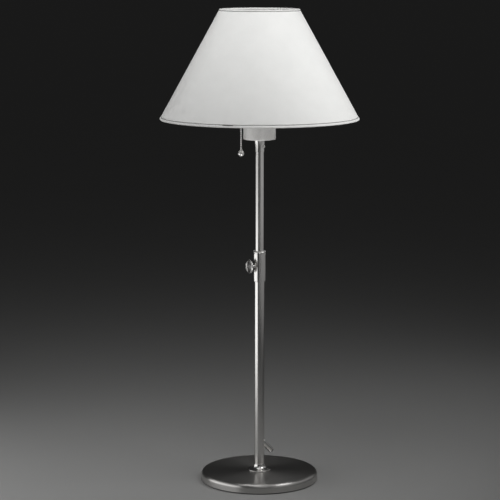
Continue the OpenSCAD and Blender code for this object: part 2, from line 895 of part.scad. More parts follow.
module finial() {
    z = spider_z + spider_t;
    neck_d = stud_d + 3;
    ball_centre_z = z + finial_foot_h + finial_ball_d / 2 - 0.2;
    color("silver") difference() {
        union() {
            at_height(z) cylinder(d = finial_foot_d, h = finial_foot_h);
            at_height(z + finial_foot_h) cylinder(d1 = neck_d, d2 = neck_d - 1, h = finial_neck_h);
            at_height(ball_centre_z) sphere(d = finial_ball_d);
        }
        at_height(z - over)
            cylinder(d = stud_d + 2 * fixed_gap, h = stud_len - spider_t + 2 * over);
    }
}

module wire_ring(z) {
    color("gainsboro") at_height(z) rotate_extrude()
        translate([wire_ring_r(z), 0]) circle(d = wire_d);
}

module top_wire_ring() {
    wire_ring(shade_top_z - wire_d);
}

module bottom_wire_ring() {
    wire_ring(shade_z + wire_d);
}

module shade_panel() {
    color("white") rotate_extrude() polygon([
        [shade_bottom_r - shade_t, shade_z],
        [shade_bottom_r, shade_z],
        [shade_top_r, shade_top_z],
        [shade_top_r - shade_t, shade_top_z]
    ]);
}

// Binding folded over an edge of the panel: up is 1 on the lower edge and -1 on the upper
module binding(edge_z, up) {
    far_z = edge_z + up * trim_h;
    near_z = edge_z - up * binding_gap;
    face_z = near_z - up * binding_t;
    color("whitesmoke") rotate_extrude() polygon([
        [shade_r(edge_z) - binding_lap, face_z],
        [shade_r(face_z) + binding_gap + binding_t, face_z],
        [shade_r(far_z) + binding_gap + binding_t, far_z],
        [shade_r(far_z) + binding_gap, far_z],
        [shade_r(near_z) + binding_gap, near_z],
        [shade_r(edge_z) - binding_lap, near_z]
    ]);
}

module top_binding() {
    binding(shade_top_z, -1);
}

module bottom_binding() {
    binding(shade_z, 1);
}

felt_pad();
base_weight();
base_cover();
base_washer();
base_bolt();
column_foot_plug();
foot_flange();
lower_tube();
cord_outlet();
outlet_bush();
clamp_collar();
collar_bush();
collar_ring();
collar_set_screw();
clamp_shoe();
clamp_screw();
knob_head();
guide_bush();
upper_tube();
neck_coupler();
neck_set_screw();
head_nipple();
socket_cup();
harp_saddle();
riser_sleeve();
socket_cap();
socket_shell();
socket_liner();
socket_body();
terminal_screws();
screw_shell();
centre_contact();
lever_pin();
lever_spring();
switch_lever();
inner_chain();
chain_guide();
chain_lead_bead();
chain_pivot_bead();
pull_chain();
chain_coupling();
chain_ball();
bulb_contact();
bulb_insulator();
bulb_cap();
bulb_glass();
harp_ferrules();
harp_wire();
harp_stud();
spider();
finial();
top_wire_ring();
bottom_wire_ring();
shade_panel();
top_binding();
bottom_binding();
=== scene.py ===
"""Looks of the pharmacy floor lamp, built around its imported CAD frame. Metres, +Z up."""
import json
import math

import bmesh
import bpy
from mathutils import Matrix, Vector


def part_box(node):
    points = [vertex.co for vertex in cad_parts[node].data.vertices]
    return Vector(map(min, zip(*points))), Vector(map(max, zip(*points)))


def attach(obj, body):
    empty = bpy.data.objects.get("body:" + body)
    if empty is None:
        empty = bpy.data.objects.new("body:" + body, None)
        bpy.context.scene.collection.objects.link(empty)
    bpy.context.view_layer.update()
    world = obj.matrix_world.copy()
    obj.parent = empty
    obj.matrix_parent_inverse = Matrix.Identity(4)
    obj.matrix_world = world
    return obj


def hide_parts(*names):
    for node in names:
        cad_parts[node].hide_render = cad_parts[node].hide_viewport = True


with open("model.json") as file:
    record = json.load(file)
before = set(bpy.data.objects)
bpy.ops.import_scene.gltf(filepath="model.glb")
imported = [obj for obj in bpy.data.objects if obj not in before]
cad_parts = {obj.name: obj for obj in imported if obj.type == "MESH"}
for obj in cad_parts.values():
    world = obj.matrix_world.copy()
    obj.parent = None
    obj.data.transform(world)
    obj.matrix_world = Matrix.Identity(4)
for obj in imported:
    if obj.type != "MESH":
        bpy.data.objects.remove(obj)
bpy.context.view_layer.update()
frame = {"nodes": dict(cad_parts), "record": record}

MM = 0.001
TURN = 2 * math.pi
NODES = frame["nodes"]
scene = bpy.context.scene
# Vertices nearer than MERGE become one. Edges stay sharp where they turn by more than SHARP
# degrees, or by more than SHARP_BAR on bars, hems and welds
MERGE = 1e-6
SHARP = 35
SHARP_BAR = 60


# ---------------------------------------------------------------- frame sizes

def span(node):
    """Radius, lowest and highest height of a node that is round about the column's axis."""
    low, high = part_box(node)
    return max(high.x - low.x, high.y - low.y) / 2, low.z, high.z


# ---------------------------------------------------------------- outlines

def arc(x, z, r, start, end, steps):
    """Points of an arc in an outline, from start to end in degrees."""
    angles = [math.radians(start + (end - start) * i / steps) for i in range(steps + 1)]
    return [(x + r * math.cos(a), z + r * math.sin(a)) for a in angles]


def wall_of(outline, thickness):
    """Closed outline of a thin wall: an open outline and the same line, set back by thickness."""
    back = []
    for i, point in enumerate(outline):
        before, after = outline[max(i - 1, 0)], outline[min(i + 1, len(outline) - 1)]
        way = Vector((after[0] - before[0], after[1] - before[1])).normalized()
        back.append((point[0] - way.y * thickness, point[1] + way.x * thickness))
    return outline + back[::-1]


# ---------------------------------------------------------------- meshes

def finished(name, verts, faces, sharp=SHARP, material=None):
    """A new object from vertices and faces, with outward normals, smooth between its edges."""
    mesh = bpy.data.meshes.new(name)
    mesh.from_pydata(verts, [], faces)
    shaped = bmesh.new()
    shaped.from_mesh(mesh)
    bmesh.ops.remove_doubles(shaped, verts=shaped.verts, dist=MERGE)
    bmesh.ops.recalc_face_normals(shaped, faces=shaped.faces)
    shaped.to_mesh(mesh)
    shaped.free()
    mesh.polygons.foreach_set("use_smooth", [True] * len(mesh.polygons))
    mesh.set_sharp_from_angle(angle=math.radians(sharp))
    piece = bpy.data.objects.new(name, mesh)
    scene.collection.objects.link(piece)
    if material:
        mesh.materials.append(material)
    return piece


def lathe(name, outline, material, steps):
    """A solid of revolution about +Z from a closed outline of (radius, height) points."""
    count = len(outline)
    verts = [(r * math.cos(TURN * i / steps), r * math.sin(TURN * i / steps), z)
             for i in range(steps) for r, z in outline]
    faces = []
    for i in range(steps):
        here, there = i * count, (i + 1) % steps * count
        for j in range(count):
            k = (j + 1) % count
            if outline[j][0] > 0 or outline[k][0] > 0:
                faces.append((here + j, there + j, there + k, here + k))
    return finished(name, verts, faces, SHARP, material)


def swept(name, section, steps, material, uv_of, sharp=SHARP):
    """A ring about +Z from section(column), a closed outline of (angle, radius, height) points,
    with UVs from uv_of(column, row)."""
    outlines = [section(i) for i in range(steps)]
    count = len(outlines[0])
    verts = [(r * math.cos(a), r * math.sin(a), z) for outline in outlines for a, r, z in outline]
    faces = [(i * count + j, (i + 1) % steps * count + j,
              (i + 1) % steps * count + (j + 1) % count, i * count + (j + 1) % count)
             for i in range(steps) for j in range(count)]
    piece = finished(name, verts, faces, sharp, material)
    layer = piece.data.uv_layers.new(name="flat_cloth")
    for face in piece.data.polygons:
        corners = [piece.data.loops[k].vertex_index for k in face.loop_indices]
        columns = [corner // count for corner in corners]
        # In a face from the last column to the first, the first counts as one turn further on
        wraps = max(columns) - min(columns) > 1
        for k, corner in zip(face.loop_indices, corners):
            column, row = divmod(corner, count)
            layer.data[k].uv = uv_of(column + (steps if wraps and column == 0 else 0), row)
    return piece


def tube_along(name, points, radius, material, sides, closed=False):
    """A round bar along a smooth path, closed by end faces or joined into a loop."""
    frames, total = [], len(points)
    up = (points[1] - points[0]).normalized().orthogonal().normalized()
    for i, point in enumerate(points):
        before = points[i - 1] if closed or i else point
        after = points[(i + 1) % total] if closed or i < total - 1 else point
        ahead = (after - before).normalized()
        up = (up - ahead * up.dot(ahead)).normalized()
        frames.append((point, up, ahead.cross(up)))
    verts = [p + radius * (math.cos(TURN * j / sides) * u + math.sin(TURN * j / sides) * v)
             for p, u, v in frames for j in range(sides)]
    faces = [(i * sides + j, i * sides + (j + 1) % sides,
              (i + 1) % total * sides + (j + 1) % sides, (i + 1) % total * sides + j)
             for i in range(total if closed else total - 1) for j in range(sides)]
    if not closed:
        last = (total - 1) * sides
        faces += [tuple(range(sides))[::-1], tuple(range(last, last + sides))]
    return finished(name, verts, faces, SHARP_BAR, material)


def stand_for(piece, body, slot, *nodes):
    """The piece rides on a body and replaces CAD nodes."""
    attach(piece, body)
    if nodes:
        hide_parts(*nodes)
    return piece


# ---------------------------------------------------------------- materials

class Shader:
    """A node material with a Principled shader and short ways to add nodes."""

    def __init__(self, name, color, **constants):
        self.material = bpy.data.materials.new(name)
        self.material.use_nodes = True
        self.tree = self.material.node_tree
        self.shader = self.tree.nodes["Principled BSDF"]
        self.shader.inputs["Base Color"].default_value = (*color, 1)
        self.color = color
        for socket, value in constants.items():
            self.shader.inputs[socket.replace("_", " ")].default_value = value

    def add(self, kind, **settings):
        node = self.tree.nodes.new(kind)
        for key, value in settings.items():
            setattr(node, key, value)
        return node

    def link(self, output, target):
        self.tree.links.new(output, target)

    def place(self, kind="Object"):
        """The piece's own coordinates, of the Object or the UV kind."""
        return self.add("ShaderNodeTexCoord").outputs[kind]

    def stretched(self, scale, source=None):
        """Coordinates times a scale along each axis, the piece's own unless others are given."""
        node = self.add("ShaderNodeMapping")
        node.inputs["Scale"].default_value = scale
        self.link(source or self.place(), node.inputs["Vector"])
        return node.outputs["Vector"]

    def noise(self, vector, detail, rough):
        node = self.add("ShaderNodeTexNoise")
        node.inputs["Scale"].default_value = 1.0
        node.inputs["Detail"].default_value = detail
        node.inputs["Roughness"].default_value = rough
        self.link(vector, node.inputs["Vector"])
        return node.outputs["Fac"]

    def grain(self, scale, detail, rough, source=None):
        """Noise of one size in every direction, with so many lumps to a metre."""
        return self.noise(self.stretched((scale, scale, scale), source), detail, rough)

    def math(self, operation, first, second=None):
        node = self.add("ShaderNodeMath", operation=operation)
        for socket, value in zip(node.inputs, (first, second)):
            if isinstance(value, (int, float)):
                socket.default_value = value
            elif value is not None:
                self.link(value, socket)
        return node.outputs["Value"]

    def between(self, fac, low, high):
        """Maps a 0 to 1 value onto low to high."""
        node = self.add("ShaderNodeMapRange")
        node.inputs["To Min"].default_value = low
        node.inputs["To Max"].default_value = high
        self.link(fac, node.inputs["Value"])
        return node.outputs["Result"]

    def tones(self, fac, dark, light, low, high):
        """Mixes two colours by a value: dark up to low, light from high on."""
        node = self.add("ShaderNodeValToRGB")
        first, second = node.color_ramp.elements
        first.position, first.color = low, (*dark, 1)
        second.position, second.color = high, (*light, 1)
        self.link(fac, node.inputs["Fac"])
        return node.outputs["Color"]

    def bump(self, height, strength, distance, under=None):
        """The normal of a relief, on top of another one if given."""
        node = self.add("ShaderNodeBump")
        node.inputs["Strength"].default_value = strength
        node.inputs["Distance"].default_value = distance
        self.link(height, node.inputs["Height"])
        if under:
            self.link(under, node.inputs["Normal"])
        return node.outputs["Normal"]

    def set(self, socket, output):
        self.link(output, self.shader.inputs[socket])

    def shades(self, fac, spread, low=0.3, high=0.7):
        """The base colour, a little darker and lighter by a value."""
        dark = [c * (1 - spread) for c in self.color]
        light = [min(1, c * (1 + spread)) for c in self.color]
        self.set("Base Color", self.tones(fac, dark, light, low, high))


def turned_metal(name, color, rough, lines, stretch=0.6, spread=0.015):
    """Metal with fine lines left by turning: round the local Z axis, or concentric on a disc."""
    m = Shader(name, color, Metallic=1.0, Roughness=rough, Anisotropic=stretch,
               Anisotropic_Rotation=0.25)
    tangent = m.add("ShaderNodeTangent", direction_type="RADIAL", axis="Z")
    m.link(tangent.outputs["Tangent"], m.shader.inputs["Tangent"])
    split = m.add("ShaderNodeSeparateXYZ")
    m.link(m.place(), split.inputs["Vector"])
    flat = m.add("ShaderNodeCombineXYZ")
    m.link(split.outputs["X"], flat.inputs["X"])
    m.link(split.outputs["Y"], flat.inputs["Y"])
    length = m.add("ShaderNodeVectorMath", operation="LENGTH")
    m.link(flat.outputs["Vector"], length.inputs[0])
    across = m.add("ShaderNodeCombineXYZ")
    m.link(m.math("MULTIPLY", length.outputs["Value"], lines), across.inputs["X"])
    m.link(m.math("MULTIPLY", split.outputs["Z"], lines), across.inputs["Y"])
    ring = m.noise(across.outputs["Vector"], 6.0, 0.7)
    cloud = m.noise(m.stretched((14, 14, 9)), 5.0, 0.6)
    spots = m.grain(160, 3.0, 0.5)
    mixed = m.math("ADD", m.math("MULTIPLY", ring, 0.6), m.math("MULTIPLY", cloud, 0.4))
    m.shades(mixed, spread)
    uneven = m.math("ADD", m.between(cloud, rough - 0.03, rough + 0.03),
                    m.between(spots, -0.012, 0.012))
    m.set("Roughness", uneven)
    m.set("Normal", m.bump(ring, 0.06, 0.02 * MM))
    return m.material


def cast_metal(name, color, rough, metal=0.85, spread=0.35, depth=0.6):
    """Metal with an even grain: a raw casting, or with less of it, a blasted surface."""
    m = Shader(name, color, Metallic=metal, Roughness=rough)
    lumps = m.grain(260, 6.0, 0.65)
    m.shades(lumps, spread)
    m.set("Roughness", m.between(lumps, rough - 0.1, rough + 0.12))
    m.set("Normal", m.bump(lumps, depth, 0.4 * MM))
    return m.material


def polished_metal(name, color, rough=0.07, metal=1.0):
    """Smooth plated metal with a faint haze."""
    m = Shader(name, color, Metallic=metal, Roughness=rough)
    haze = m.grain(90, 5.0, 0.6)
    m.shades(haze, 0.03)
    m.set("Roughness", m.between(haze, rough * 0.6, rough * 2.0))
    fine = m.noise(m.stretched((700, 700, 200)), 2.0, 0.5)
    m.set("Normal", m.bump(fine, 0.03, 0.02 * MM))
    return m.material


def moulded(name, color, rough, coat=0.0, relief=0.25):
    """Moulded plastic, paint or enamel with a faint orange peel."""
    m = Shader(name, color, Roughness=rough, Coat_Weight=coat, Coat_Roughness=0.15)
    peel = m.grain(900, 3.0, 0.5)
    haze = m.grain(60, 4.0, 0.6)
    m.shades(haze, 0.06)
    m.set("Roughness", m.between(haze, rough - 0.06, rough + 0.08))
    m.set("Normal", m.bump(peel, relief, 0.05 * MM))
    return m.material


def pressed_fibre(name, color, scale=1400, depth=0.35 * MM):
    """Felt or board: matted fibres with a soft nap."""
    m = Shader(name, color, Roughness=0.95, Sheen_Weight=0.25, Sheen_Roughness=0.6)
    fibres = m.grain(scale, 8.0, 0.75)
    clumps = m.grain(140, 4.0, 0.6)
    both = m.math("MULTIPLY", m.math("ADD", fibres, clumps), 0.5)
    m.shades(both, 0.3, 0.35, 0.65)
    m.set("Normal", m.bump(fibres, 0.8, depth))
    return m.material


def glaze(name, color):
    """Glazed porcelain or solid glass."""
    m = Shader(name, color, Roughness=0.22, Coat_Weight=0.6, Coat_Roughness=0.05)
    body = m.grain(220, 5.0, 0.6)
    m.shades(body, 0.05)
    m.set("Roughness", m.between(body, 0.16, 0.32))
    m.set("Normal", m.bump(body, 0.12, 0.15 * MM))
    return m.material


def frosted(name, color):
    """The bulb's glass, coated white inside."""
    m = Shader(name, color, Roughness=0.42, Transmission_Weight=0.35, IOR=1.45,
               Subsurface_Weight=0.3, Subsurface_Scale=0.01)
    frost = m.grain(1500, 3.0, 0.6)
    haze = m.grain(40, 3.0, 0.5)
    m.shades(haze, 0.02)
    m.set("Roughness", m.between(haze, 0.36, 0.5))
    m.set("Normal", m.bump(frost, 0.12, 0.03 * MM))
    return m.material


def woven(name, color, pitch, turn=0.0, slubs=0.5, depth=0.12 * MM):
    """Plain weave on UV coordinates that are metres on the flat cloth."""
    m = Shader(name, color, Roughness=0.86, Sheen_Weight=0.2, Sheen_Roughness=0.5)
    source = m.add("ShaderNodeMapping")
    source.inputs["Rotation"].default_value = (0, 0, turn)
    m.link(m.place("UV"), source.inputs["Vector"])
    flat = source.outputs["Vector"]
    wobble = m.grain(90, 3.0, 0.5, flat)
    split = m.add("ShaderNodeSeparateXYZ")
    m.link(flat, split.inputs["Vector"])
    waves = []
    for axis in "XY":
        moved = m.math("ADD", split.outputs[axis], m.between(wobble, -0.25 * pitch, 0.25 * pitch))
        waves.append(m.math("SINE", m.math("MULTIPLY", moved, math.pi / pitch)))
    warp, weft = [m.math("ABSOLUTE", wave) for wave in waves]
    # Over and under: the sign of the product of the two waves, one thread to a half wave
    side = m.math("GREATER_THAN", m.math("MULTIPLY", *waves), 0.0)
    other = m.math("SUBTRACT", 1.0, side)
    height = m.math("ADD", m.math("MULTIPLY", warp, side), m.math("MULTIPLY", weft, other))
    along = m.noise(m.stretched((1 / pitch, 0.08 / pitch, 1), flat), 3.0, 0.6)
    across = m.noise(m.stretched((0.08 / pitch, 1 / pitch, 1), flat), 3.0, 0.6)
    thread = m.math("MULTIPLY", m.math("ADD", along, across), 0.5)
    cloud = m.grain(22, 4.0, 0.55, flat)
    tone = m.math("ADD", m.math("MULTIPLY", thread, slubs), m.math("MULTIPLY", cloud, 1 - slubs))
    tone = m.math("ADD", m.math("MULTIPLY", tone, 0.8), m.math("MULTIPLY", height, 0.2))
    m.shades(tone, 0.035, 0.35, 0.68)
    m.set("Roughness", m.between(thread, 0.78, 0.92))
    weave = m.bump(height, 0.55, depth)
    m.set("Normal", m.bump(thread, 0.35, depth, weave))
    return m.material


SATIN = turned_metal("satin_nickel", (0.70, 0.69, 0.675), 0.22, 9000)
MATT = cast_metal("matt_nickel", (0.82, 0.81, 0.795), 0.58, 0.45, 0.07, 0.15)
SPUN = turned_metal("spun_nickel", (0.55, 0.54, 0.525), 0.33, 2600, 0.7, 0.03)
BRIGHT = polished_metal("bright_nickel", (0.80, 0.79, 0.775))
ZINC = turned_metal("zinc_steel", (0.50, 0.52, 0.54), 0.34, 5000, 0.3)
BLACK_STEEL = moulded("black_steel", (0.03, 0.03, 0.032), 0.45, 0.2)
IRON = cast_metal("cast_iron", (0.10, 0.10, 0.105), 0.6)
BRASS = turned_metal("brass", (0.66, 0.47, 0.20), 0.24, 7000, 0.35)
FELT = pressed_fibre("felt", (0.055, 0.055, 0.06))
BLACK_PLASTIC = moulded("black_plastic", (0.022, 0.022, 0.024), 0.42)
PORCELAIN = glaze("porcelain", (0.84, 0.82, 0.76))
CARDBOARD = pressed_fibre("cardboard", (0.42, 0.31, 0.19), 700, 0.15 * MM)
BULB_METAL = turned_metal("bulb_metal", (0.72, 0.72, 0.73), 0.3, 4000, 0.2)
BLACK_GLASS = glaze("black_glass", (0.012, 0.010, 0.014))
FROSTED = frosted("frosted_glass", (0.93, 0.93, 0.90))
WHITE_WIRE = moulded("white_wire", (0.80, 0.80, 0.78), 0.4, 0.3)
BEADS = polished_metal("bead_nickel", (0.92, 0.91, 0.895), 0.36, 0.6)
BALL = polished_metal("ball_nickel", (0.90, 0.89, 0.875), 0.13, 0.85)
SHADE = woven("shade_fabric", (0.80, 0.80, 0.785), 0.55 * MM)
LINING = moulded("shade_lining", (0.94, 0.94, 0.93), 0.5, 0.0, 0.15)
# The tape is cut on the bias
BIAS = math.radians(45)
TAPE_PITCH = 0.42 * MM
TAPE = woven("binding_tape", (0.78, 0.78, 0.765), TAPE_PITCH, BIAS, 0.4, 0.14 * MM)
# Painted shade: the tape's colour darkened where shade falls in the groove above the roll
GROOVE_SHADE = woven("painted_groove_shade", (0.30, 0.30, 0.295), TAPE_PITCH, BIAS, 0.4)
# The groove's painted shade made darker, and carried up over the roll's top, where the foot tape's
# ends meet
JOINT_SHADE = woven("painted_joint_shade", (0.11, 0.11, 0.105), TAPE_PITCH, BIAS, 0.4)

SLOT_MATERIALS = {
    "satin_nickel": SATIN, "spun_nickel": SPUN, "matt_nickel": MATT, "bright_nickel": BRIGHT,
    "zinc_steel": ZINC, "black_steel": BLACK_STEEL, "cast_iron": IRON, "brass": BRASS,
    "felt": FELT, "black_plastic": BLACK_PLASTIC, "porcelain": PORCELAIN,
    "cardboard": CARDBOARD, "bulb_metal": BULB_METAL, "black_glass": BLACK_GLASS,
    "frosted_glass": FROSTED, "white_wire": WHITE_WIRE, "shade_fabric": SHADE,
    "binding_tape": TAPE,
}
CHAIN_NODES = ("pull_chain", "chain_lead_bead", "chain_pivot_bead", "chain_coupling")


def finish_cad_nodes():
    """Every CAD node takes the material of its slot in the record, and the chain its own."""
    for part in frame["record"]["subparts"]:
        node = NODES[part["node"]]
        node.data.materials.clear()
        node.data.materials.append(SLOT_MATERIALS[part["material_slot"]])
    for name in CHAIN_NODES:
        NODES[name].data.materials[0] = BEADS
    NODES["chain_ball"].data.materials[0] = BALL


finish_cad_nodes()


# ---------------------------------------------------------------- base and column

def add_base():
    """The spun shell over the cast weight, with a rounded edge and a bead under its rim."""
    r, low, top = span("base_cover")
    edge, wall, hole, bead = 11 * MM, 1.5 * MM, 5.5 * MM, 0.75 * MM
    inside = r - wall
    outline = [(hole, top), (hole + MM, top), (0.2 * r, top), (0.6 * r, top),
               (r - edge - 2 * MM, top), (r - edge - 0.4 * MM, top)]
    outline += arc(r - edge, top - edge, edge, 90, 0, 20)
    outline += [(r, top - edge - 0.5 * MM), (r, low + bead + 0.3 * MM)]
    outline += arc(r - bead, low + bead, bead, 0, -180, 8)
    outline += [(inside, top - edge)]
    outline += arc(r - edge, top - edge, edge - wall, 8, 90, 10)
    outline += [(hole, top - wall)]
    stand_for(lathe("base_shell", outline, SPUN, 192), "stand", "spun_nickel", "base_cover")


def add_flange():
    """The foot flange: a round lip, a hollow cone and a thin rounded top against the tube."""
    r, low, top = span("foot_flange")
    bore, lip, scoop = 13.05 * MM, 1.25 * MM, 13 * MM
    centre = bore + 1.4 * MM + scoop
    lip_top, nose = low + 2 * lip, 0.65 * MM
    outline = [(bore, low), (r - lip - 4 * MM, low)]
    outline += arc(r - lip, low + lip, lip, -90, 90, 10)
    outline += [(r - lip - 0.8 * MM, lip_top), (centre + 0.15 * MM, lip_top + 0.12 * MM)]
    outline += arc(centre, top, scoop, 268, 184, 24)
    outline += arc(bore + nose, top - nose, nose, 30, 90, 4)
    outline += [(bore, top)]
    stand_for(lathe("foot_escutcheon", outline, SATIN, 128), "stand", "satin_nickel", "foot_flange")


def add_outlet_weld():
    """The brazed fillet where the cord outlet leaves the lower tube, slanting down."""
    turn, tilt = math.radians(30), math.radians(135)
    start, outlet_r, tube_r = Vector((0, 0, 108 * MM)), 7.0 * MM, 13.0 * MM
    bead, steps = 0.9 * MM, 72
    out = Vector((math.sin(tilt) * math.cos(turn), math.sin(tilt) * math.sin(turn),
                  math.cos(tilt)))
    side = Vector((-math.sin(turn), math.cos(turn), 0))
    other = out.cross(side)
    points = []
    for i in range(steps):
        a = TURN * i / steps
        rim = start + outlet_r * (math.cos(a) * side + math.sin(a) * other)
        # The point along the outlet at which its wall meets the tube
        b = rim.x * out.x + rim.y * out.y
        c = rim.x ** 2 + rim.y ** 2 - tube_r ** 2
        flat = out.x ** 2 + out.y ** 2
        points.append(rim + out * ((math.sqrt(b * b - flat * c) - b) / flat))
    weld = tube_along("outlet_weld", points, bead, SATIN, 12, closed=True)
    stand_for(weld, "stand", "satin_nickel")


def add_collar_ring():
    """The gland ring: a waist and a lip with a rounded upper edge above the collar."""
    r, low, top = span("collar_ring")
    bore, spigot, waist, edge = 11.3 * MM, 13.5 * MM, 14.7 * MM, 2.2 * MM
    shoulder, lip = top - 6 * MM, top - 3 * MM
    corner, under = 0.5 * MM, 0.4 * MM
    outline = [(bore, low), (spigot, low), (spigot, shoulder), (waist, shoulder)]
    outline += [(waist, lip - corner)]
    outline += arc(waist + corner, lip - corner, corner, 180, 90, 4)
    outline += arc(r - under, lip + under, under, -90, 0, 4)
    outline += arc(r - edge, top - edge, edge, 0, 90, 10)
    outline += arc(bore + corner, top - corner, corner, 90, 180, 5)
    stand_for(lathe("gland_ring", outline, SATIN, 128), "stand", "satin_nickel", "collar_ring")


def add_knob():
    """The thumb screw's head: a stem that flares into a round-edged, dished disc."""
    stem, bore, flare, face, rim = 4.0 * MM, 3.05 * MM, 5.0 * MM, 27.0 * MM, 2.3 * MM
    start, disc, dish, soft = 16.6 * MM, 17.5 * MM, 13.5 * MM, 0.4 * MM
    turn, height = math.radians(210), 560 * MM
    back = face + 2 * rim
    outline = [(bore, start), (stem - soft, start), (stem, start + soft)]
    outline += [(stem, face - flare)]
    outline += arc(stem + flare, face - flare, flare, 176, 94, 10)
    outline += [(stem + flare + 0.5 * MM, face)]
    outline += arc(disc - rim, face + rim, rim, -90, 90, 14)
    outline += arc(dish + soft, back - soft, soft, 90, 180, 4)
    outline += arc(dish - soft, back - soft, soft, 0, -90, 4)
    outline += [(dish * 0.6, back - 0.7 * MM), (dish * 0.2, back - 0.62 * MM),
                (0, back - 0.6 * MM), (0, face), (bore, face)]
    knob = lathe("thumb_disc", outline, SATIN, 96)
    lying = Matrix.Rotation(turn, 4, "Z") @ Matrix.Rotation(TURN / 4, 4, "Y")
    knob.matrix_world = Matrix.Translation((0, 0, height)) @ lying
    stand_for(knob, "clamp_knob", "satin_nickel", "knob_head")


# ---------------------------------------------------------------- harp and spider

def bezier(ends, t):
    """The point at t, from 0 to 1, of the Bezier curve of these control points."""
    while len(ends) > 1:
        ends = [a.lerp(b, t) for a, b in zip(ends, ends[1:])]
    return ends[0]


def add_harp():
    """The harp's wire: straight in its ferrules, then one curve over the bulb."""
    foot, straight, bulge, shoulder = 28 * MM, 18 * MM, 86 * MM, 22 * MM
    pull_low, pull_high = 42 * MM, 132 * MM
    radius, steps = 1.6 * MM, 48
    low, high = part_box("harp_wire")
    top = high.z - radius
    bend = low.z + straight
    ends = [(foot, bend), (foot, bend + pull_low), (bulge, bend + pull_low),
            (bulge, bend + pull_high), (bulge - shoulder, top), (0, top)]
    ends = [Vector((0, y, z)) for y, z in ends]
    half = [Vector((0, foot, low.z + straight * i / 4)) for i in range(4)]
    half += [bezier(ends, i / steps) for i in range(steps + 1)]
    points = half + [Vector((0, -p.y, p.z)) for p in half[-2::-1]]
    stand_for(tube_along("harp_frame", points, radius, BRASS, 20), "mast", "brass", "harp_wire")


def add_spider_welds():
    """A small lump of weld where each arm meets the upper wire ring."""
    arms, first_arm = 3, 57
    thick, long, sunk, lumpy = 1.9 * MM, 3.4 * MM, 0.4 * MM, 0.12
    low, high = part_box("top_wire_ring")
    level = ((low + high) / 2).z
    verts, faces = [], []
    steps, rows = 16, 8
    for arm in range(arms):
        turn = math.radians(first_arm + 360 * arm / arms)
        out = Vector((math.cos(turn), math.sin(turn), 0))
        along = Vector((-out.y, out.x, 0))
        centre = out * (high.x - thick) + Vector((0, 0, level - sunk))
        first = len(verts)
        for i in range(rows + 1):
            tilt = math.pi * i / rows - math.pi / 2
            for j in range(steps):
                a = TURN * j / steps
                lump = 1 + lumpy * math.sin(3 * a + arm) * math.cos(tilt)
                verts.append(centre + out * (thick * math.cos(tilt) * math.cos(a))
                             + along * (long * lump * math.cos(tilt) * math.sin(a))
                             + Vector((0, 0, thick * math.sin(tilt))))
        faces += [(first + i * steps + j, first + i * steps + (j + 1) % steps,
                   first + (i + 1) * steps + (j + 1) % steps, first + (i + 1) * steps + j)
                  for i in range(rows) for j in range(steps)]
    welds = finished("spider_welds", verts, faces, SHARP_BAR, WHITE_WIRE)
    stand_for(welds, "mast", "white_wire")


# ---------------------------------------------------------------- shade

PANEL_R, SHADE_LOW, SHADE_TOP = span("shade_panel")
# The wall's radius at its top
SHADE_NECK = 100 * MM
SLANT = math.hypot(PANEL_R - SHADE_NECK, SHADE_TOP - SHADE_LOW)
# One unit up the wall and one unit out of it, as (radius, height)
UP_WALL = Vector((SHADE_NECK - PANEL_R, SHADE_TOP - SHADE_LOW)) / SLANT
OFF_WALL = Vector((UP_WALL.y, -UP_WALL.x))
# The share of a full turn that the cone's wall fills when it is laid flat
CONE = -UP_WALL.x
# The thickness of the laminated cloth
BOARD = 1.0 * MM
# The glued lap at the back: its direction, half its width and the height of its step
SEAM = math.radians(90)
SEAM_HALF = 5 * MM
SEAM_STEP = 0.4 * MM


def on_wall(up, out):
    """Radius and height of a point so far up the wall from its foot, and so far out of it."""
    point = Vector((PANEL_R, SHADE_LOW)) + UP_WALL * up + OFF_WALL * out
    return point.x, point.y


def unevenness(angle, up):
    """How far the board stands out of a true cone: slow waves that die out at the wire rings."""
    hold = math.sin(math.pi * up / SLANT)
    slow = math.sin(3 * angle + 0.8) + 0.7 * math.sin(5 * angle + 2.1 + 6 * up)
    quick = math.sin(11 * angle + 0.4 - 9 * up) + 0.6 * math.sin(17 * angle + 4.0 + 14 * up)
    return hold * (0.16 * slow + 0.05 * quick) * MM


# The cover's outside, as (distance up the wall, distance out of it) in mm: it dips under the hems
COVER_FOOT = [(6.5, -0.85), (6.55, -0.5), (6.7, -0.22), (6.95, -0.06), (7.4, 0.0), (9.5, 0.0),
              (14.0, 0.0)]
COVER_HEAD = [(12.0, 0.0), (6.0, 0.0), (5.0, -0.02), (4.75, -0.15), (4.6, -0.4), (4.55, -0.85)]
COVER_ROWS = 22
COVER_STEPS = 288
# A face shows the lining when the outward share of its normal is below this
INWARD = -0.3


